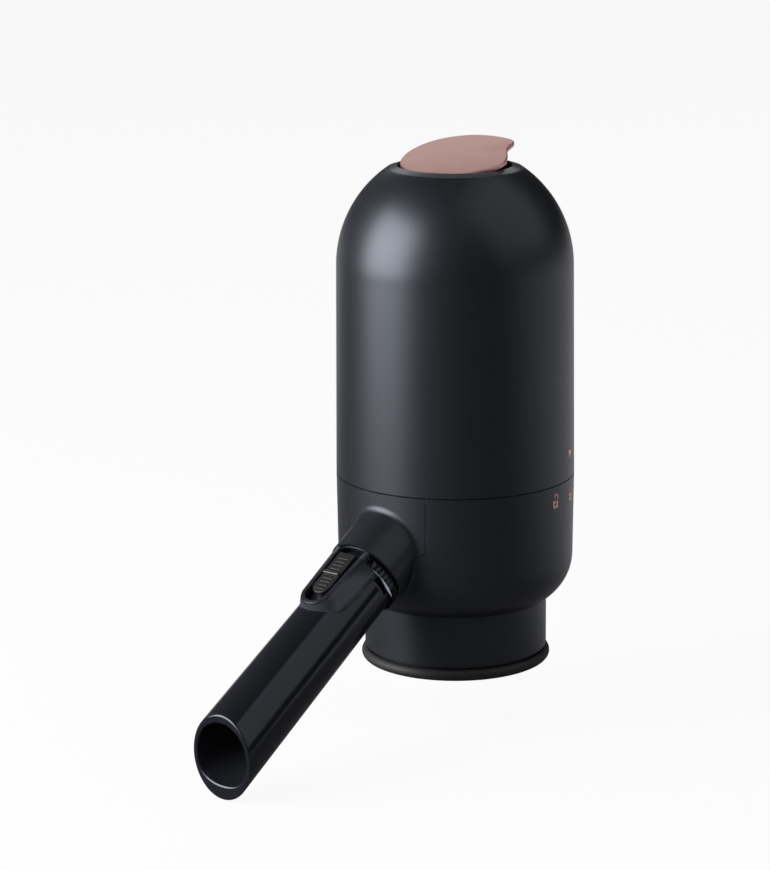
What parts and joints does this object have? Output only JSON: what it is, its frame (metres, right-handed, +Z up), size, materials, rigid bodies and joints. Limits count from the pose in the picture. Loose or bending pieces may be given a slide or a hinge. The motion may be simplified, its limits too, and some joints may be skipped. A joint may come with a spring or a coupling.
{
  "type": "electric wine aerator",
  "caption": "Battery-pump wine aerator that seats on a bottle's neck, with a domed body, a tilted top press button and a sloping spout with a slant-cut end.",
  "frame": {"origin": "on the body's axis, in the plane of the seal's underside where the bottle's lip seats", "axes": "+Z up along the body's axis, -Y the way the spout points, +X to the user's right when the spout points at them"},
  "size_m": [0.058, 0.1147, 0.1415],
  "materials": {
    "housing": "soft-touch near-black satin",
    "collar": "satin dark grey",
    "rim_rubber": "dull black rubber",
    "silicone": "translucent grey silicone",
    "spout": "polished black",
    "leaf": "satin rose-gold",
    "inner_plastic": "moulded off-white",
    "steel": "plain",
    "contact": "circuit board with plated contacts",
    "board": "circuit board",
    "cell": "plain wrapped cell",
    "motor": "plated can",
    "lead_red": "insulated wire",
    "lead_black": "insulated wire"
  },
  "bodies": {
    "base": {"lower_housing": "housing", "front_panel": "housing", "collar": "collar", "rim_gasket": "rim_rubber", "bottle_seal": "silicone", "dip_tube_ring": "silicone", "air_check_valve": "silicone", "port_plate": "inner_plastic", "plate_screw_1": "steel", "plate_screw_2": "steel", "plate_screw_3": "steel", "wine_elbow": "inner_plastic", "aeration_nozzle": "inner_plastic", "air_coupling": "silicone", "air_pipe": "silicone", "top_deck": "housing"},
    "spout": {"spout_tube": "spout", "spout_ring_1": "silicone", "spout_ring_2": "silicone"},
    "slider": {"flow_slider": "spout"},
    "upper": {"upper_base": "housing", "air_outlet_tube": "silicone", "dome_housing": "housing", "battery_carrier": "inner_plastic", "lower_contact_board": "contact", "upper_contact_board": "contact", "cell_1": "cell", "cell_2": "cell", "cell_3": "cell", "cell_4": "cell", "cell_5": "cell", "cell_6": "cell", "pump_head": "inner_plastic", "pump_diaphragm": "silicone", "pump_frame": "inner_plastic", "pump_rocker": "inner_plastic", "motor_can": "motor", "motor_damper": "rim_rubber", "button_bezel": "housing", "hinge_pin": "steel", "return_spring": "steel", "control_board": "board", "board_screw_1": "steel", "board_screw_2": "steel", "switch_body": "inner_plastic", "battery_lead_1": "lead_red", "battery_lead_2": "lead_black", "motor_lead_1": "lead_red", "motor_lead_2": "lead_black"},
    "crank": {"motor_crank": "steel"},
    "button": {"button_lever": "housing", "button_leaf": "leaf"},
    "plunger": {"switch_plunger": "inner_plastic"}
  },
  "joints": [
    {"name": "spout_pull", "type": "slide", "parent": "base", "child": "spout", "axis": [0, -0.8545, -0.5195], "range_m": [0, 0.0135]},
    {"name": "flow_slide", "type": "slide", "parent": "spout", "child": "slider", "axis": [0, -0.8545, -0.5195], "range_m": [-0.002, 0.002]},
    {"name": "twist_lock", "type": "hinge", "parent": "base", "child": "upper", "pos_m": [0, 0, 0.0297], "axis": [0, 0, 1], "range_deg": [-18, 0]},
    {"name": "crank_spin", "type": "hinge", "parent": "upper", "child": "crank", "pos_m": [0, 0, 0.0483], "axis": [0, 0, 1], "continuous": true},
    {"name": "button_press", "type": "hinge", "parent": "upper", "child": "button", "pos_m": [0, -0.0104, 0.0996], "axis": [1, 0, 0], "range_deg": [-4, 0], "stiffness_Nm_per_rad": 0.25, "springref_deg": 4.58, "deforming": ["return_spring"]},
    {"name": "plunger_press", "type": "slide", "parent": "upper", "child": "plunger", "axis": [0, 0, 1], "range_m": [-0.001, 0]}
  ],
  "couplings": [
    {"joint": "plunger_press", "follows": "button_press", "m_per_rad": 0.0134}
  ]
}
